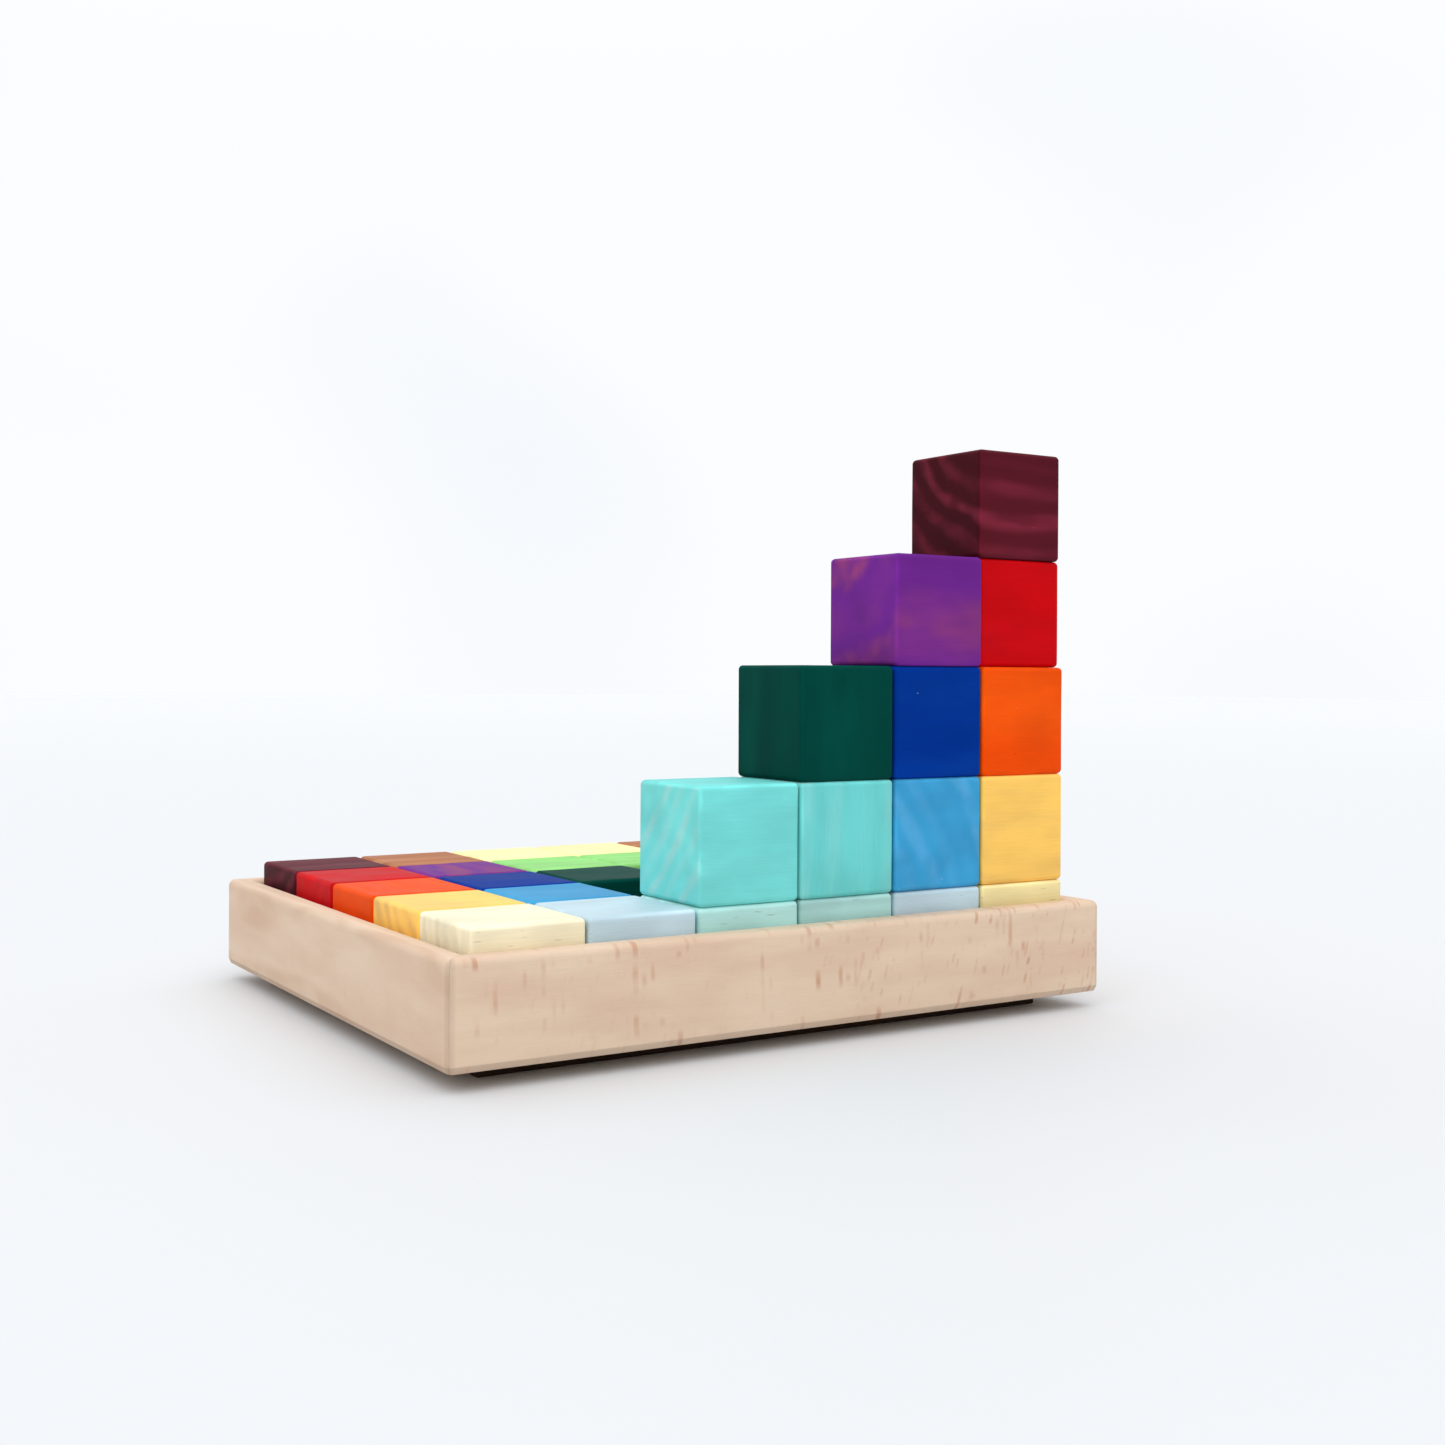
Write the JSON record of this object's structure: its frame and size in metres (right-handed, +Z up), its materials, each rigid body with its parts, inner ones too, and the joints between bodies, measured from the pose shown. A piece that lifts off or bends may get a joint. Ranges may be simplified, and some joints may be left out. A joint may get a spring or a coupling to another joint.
{
  "type": "wooden cube mosaic puzzle",
  "caption": "Mosaic of stained wooden cubes in a shallow beech tray; a corner stack climbs like stairs, and every cube lifts off to be laid or built again.",
  "frame": {"origin": "on the table, under the centre of the tray's footprint", "axes": "+X along the tray's long front, left to right; +Y from the front row to the back row; +Z up"},
  "size_m": [0.2652, 0.2216, 0.2076],
  "materials": {
    "beech": "sanded and oiled beech, satin",
    "board": "plain thin board, matte",
    "foot": "dark stained board, matte",
    "stain_cream": "transparent stain over visible grain, satin",
    "stain_amber": "transparent stain over visible grain, satin",
    "stain_orange": "transparent stain over visible grain, satin",
    "stain_red": "transparent stain over visible grain, satin",
    "stain_burgundy": "transparent stain over visible grain, satin",
    "stain_pale_blue": "transparent stain over visible grain, satin",
    "stain_sky_blue": "transparent stain over visible grain, satin",
    "stain_royal_blue": "transparent stain over visible grain, satin",
    "stain_purple": "transparent stain over visible grain, satin",
    "stain_brown": "transparent stain over visible grain, satin",
    "stain_pale_turquoise": "transparent stain over visible grain, satin",
    "stain_turquoise": "transparent stain over visible grain, satin",
    "stain_dark_green": "transparent stain over visible grain, satin",
    "stain_light_green": "transparent stain over visible grain, satin",
    "stain_pale_yellow": "transparent stain over visible grain, satin"
  },
  "bodies": {
    "tray": {"foot_board": "foot", "bottom_board": "board", "front_wall": "beech", "back_wall": "beech", "left_wall": "beech", "right_wall": "beech"},
    "cube_c1r1l1_cream": {"cube_c1r1l1_cream": "stain_cream"},
    "cube_c1r2l1_amber": {"cube_c1r2l1_amber": "stain_amber"},
    "cube_c1r3l1_orange": {"cube_c1r3l1_orange": "stain_orange"},
    "cube_c1r4l1_red": {"cube_c1r4l1_red": "stain_red"},
    "cube_c1r5l1_burgundy": {"cube_c1r5l1_burgundy": "stain_burgundy"},
    "cube_c2r1l1_pale_blue": {"cube_c2r1l1_pale_blue": "stain_pale_blue"},
    "cube_c2r2l1_sky_blue": {"cube_c2r2l1_sky_blue": "stain_sky_blue"},
    "cube_c2r3l1_royal_blue": {"cube_c2r3l1_royal_blue": "stain_royal_blue"},
    "cube_c2r4l1_purple": {"cube_c2r4l1_purple": "stain_purple"},
    "cube_c2r5l1_brown": {"cube_c2r5l1_brown": "stain_brown"},
    "cube_c3r1l1_pale_turquoise": {"cube_c3r1l1_pale_turquoise": "stain_pale_turquoise"},
    "cube_c3r3l1_dark_green": {"cube_c3r3l1_dark_green": "stain_dark_green"},
    "cube_c3r4l1_light_green": {"cube_c3r4l1_light_green": "stain_light_green"},
    "cube_c3r5l1_pale_yellow": {"cube_c3r5l1_pale_yellow": "stain_pale_yellow"},
    "cube_c4r1l1_pale_turquoise": {"cube_c4r1l1_pale_turquoise": "stain_pale_turquoise"},
    "cube_c4r4l1_light_green": {"cube_c4r4l1_light_green": "stain_light_green"},
    "cube_c4r5l1_pale_yellow": {"cube_c4r5l1_pale_yellow": "stain_pale_yellow"},
    "cube_c5r1l1_pale_blue": {"cube_c5r1l1_pale_blue": "stain_pale_blue"},
    "cube_c5r5l1_brown": {"cube_c5r5l1_brown": "stain_brown"},
    "cube_c6r1l1_cream": {"cube_c6r1l1_cream": "stain_cream"},
    "cube_c3r1l2_turquoise": {"cube_c3r1l2_turquoise": "stain_turquoise"},
    "cube_c4r1l2_turquoise": {"cube_c4r1l2_turquoise": "stain_turquoise"},
    "cube_c4r1l3_dark_green": {"cube_c4r1l3_dark_green": "stain_dark_green"},
    "cube_c5r1l2_sky_blue": {"cube_c5r1l2_sky_blue": "stain_sky_blue"},
    "cube_c5r1l3_royal_blue": {"cube_c5r1l3_royal_blue": "stain_royal_blue"},
    "cube_c5r1l4_purple": {"cube_c5r1l4_purple": "stain_purple"},
    "cube_c6r1l2_amber": {"cube_c6r1l2_amber": "stain_amber"},
    "cube_c6r1l3_orange": {"cube_c6r1l3_orange": "stain_orange"},
    "cube_c6r1l4_red": {"cube_c6r1l4_red": "stain_red"},
    "cube_c6r1l5_burgundy": {"cube_c6r1l5_burgundy": "stain_burgundy"}
  },
  "joints": [
    {"name": "lift_c1r1l1", "type": "slide", "parent": "tray", "child": "cube_c1r1l1_cream", "axis": [0, 0, 1], "range_m": [0, 0.06]},
    {"name": "lift_c1r2l1", "type": "slide", "parent": "tray", "child": "cube_c1r2l1_amber", "axis": [0, 0, 1], "range_m": [0, 0.06]},
    {"name": "lift_c1r3l1", "type": "slide", "parent": "tray", "child": "cube_c1r3l1_orange", "axis": [0, 0, 1], "range_m": [0, 0.06]},
    {"name": "lift_c1r4l1", "type": "slide", "parent": "tray", "child": "cube_c1r4l1_red", "axis": [0, 0, 1], "range_m": [0, 0.06]},
    {"name": "lift_c1r5l1", "type": "slide", "parent": "tray", "child": "cube_c1r5l1_burgundy", "axis": [0, 0, 1], "range_m": [0, 0.06]},
    {"name": "lift_c2r1l1", "type": "slide", "parent": "tray", "child": "cube_c2r1l1_pale_blue", "axis": [0, 0, 1], "range_m": [0, 0.06]},
    {"name": "lift_c2r2l1", "type": "slide", "parent": "tray", "child": "cube_c2r2l1_sky_blue", "axis": [0, 0, 1], "range_m": [0, 0.06]},
    {"name": "lift_c2r3l1", "type": "slide", "parent": "tray", "child": "cube_c2r3l1_royal_blue", "axis": [0, 0, 1], "range_m": [0, 0.06]},
    {"name": "lift_c2r4l1", "type": "slide", "parent": "tray", "child": "cube_c2r4l1_purple", "axis": [0, 0, 1], "range_m": [0, 0.06]},
    {"name": "lift_c2r5l1", "type": "slide", "parent": "tray", "child": "cube_c2r5l1_brown", "axis": [0, 0, 1], "range_m": [0, 0.06]},
    {"name": "lift_c3r1l1", "type": "slide", "parent": "tray", "child": "cube_c3r1l1_pale_turquoise", "axis": [0, 0, 1], "range_m": [0, 0.06]},
    {"name": "lift_c3r3l1", "type": "slide", "parent": "tray", "child": "cube_c3r3l1_dark_green", "axis": [0, 0, 1], "range_m": [0, 0.06]},
    {"name": "lift_c3r4l1", "type": "slide", "parent": "tray", "child": "cube_c3r4l1_light_green", "axis": [0, 0, 1], "range_m": [0, 0.06]},
    {"name": "lift_c3r5l1", "type": "slide", "parent": "tray", "child": "cube_c3r5l1_pale_yellow", "axis": [0, 0, 1], "range_m": [0, 0.06]},
    {"name": "lift_c4r1l1", "type": "slide", "parent": "tray", "child": "cube_c4r1l1_pale_turquoise", "axis": [0, 0, 1], "range_m": [0, 0.06]},
    {"name": "lift_c4r4l1", "type": "slide", "parent": "tray", "child": "cube_c4r4l1_light_green", "axis": [0, 0, 1], "range_m": [0, 0.06]},
    {"name": "lift_c4r5l1", "type": "slide", "parent": "tray", "child": "cube_c4r5l1_pale_yellow", "axis": [0, 0, 1], "range_m": [0, 0.06]},
    {"name": "lift_c5r1l1", "type": "slide", "parent": "tray", "child": "cube_c5r1l1_pale_blue", "axis": [0, 0, 1], "range_m": [0, 0.06]},
    {"name": "lift_c5r5l1", "type": "slide", "parent": "tray", "child": "cube_c5r5l1_brown", "axis": [0, 0, 1], "range_m": [0, 0.06]},
    {"name": "lift_c6r1l1", "type": "slide", "parent": "tray", "child": "cube_c6r1l1_cream", "axis": [0, 0, 1], "range_m": [0, 0.06]},
    {"name": "lift_c3r1l2", "type": "slide", "parent": "cube_c3r1l1_pale_turquoise", "child": "cube_c3r1l2_turquoise", "axis": [0, 0, 1], "range_m": [0, 0.06]},
    {"name": "lift_c4r1l2", "type": "slide", "parent": "cube_c4r1l1_pale_turquoise", "child": "cube_c4r1l2_turquoise", "axis": [0, 0, 1], "range_m": [0, 0.06]},
    {"name": "lift_c4r1l3", "type": "slide", "parent": "cube_c4r1l2_turquoise", "child": "cube_c4r1l3_dark_green", "axis": [0, 0, 1], "range_m": [0, 0.06]},
    {"name": "lift_c5r1l2", "type": "slide", "parent": "cube_c5r1l1_pale_blue", "child": "cube_c5r1l2_sky_blue", "axis": [0, 0, 1], "range_m": [0, 0.06]},
    {"name": "lift_c5r1l3", "type": "slide", "parent": "cube_c5r1l2_sky_blue", "child": "cube_c5r1l3_royal_blue", "axis": [0, 0, 1], "range_m": [0, 0.06]},
    {"name": "lift_c5r1l4", "type": "slide", "parent": "cube_c5r1l3_royal_blue", "child": "cube_c5r1l4_purple", "axis": [0, 0, 1], "range_m": [0, 0.06]},
    {"name": "lift_c6r1l2", "type": "slide", "parent": "cube_c6r1l1_cream", "child": "cube_c6r1l2_amber", "axis": [0, 0, 1], "range_m": [0, 0.06]},
    {"name": "lift_c6r1l3", "type": "slide", "parent": "cube_c6r1l2_amber", "child": "cube_c6r1l3_orange", "axis": [0, 0, 1], "range_m": [0, 0.06]},
    {"name": "lift_c6r1l4", "type": "slide", "parent": "cube_c6r1l3_orange", "child": "cube_c6r1l4_red", "axis": [0, 0, 1], "range_m": [0, 0.06]},
    {"name": "lift_c6r1l5", "type": "slide", "parent": "cube_c6r1l4_red", "child": "cube_c6r1l5_burgundy", "axis": [0, 0, 1], "range_m": [0, 0.06]}
  ]
}
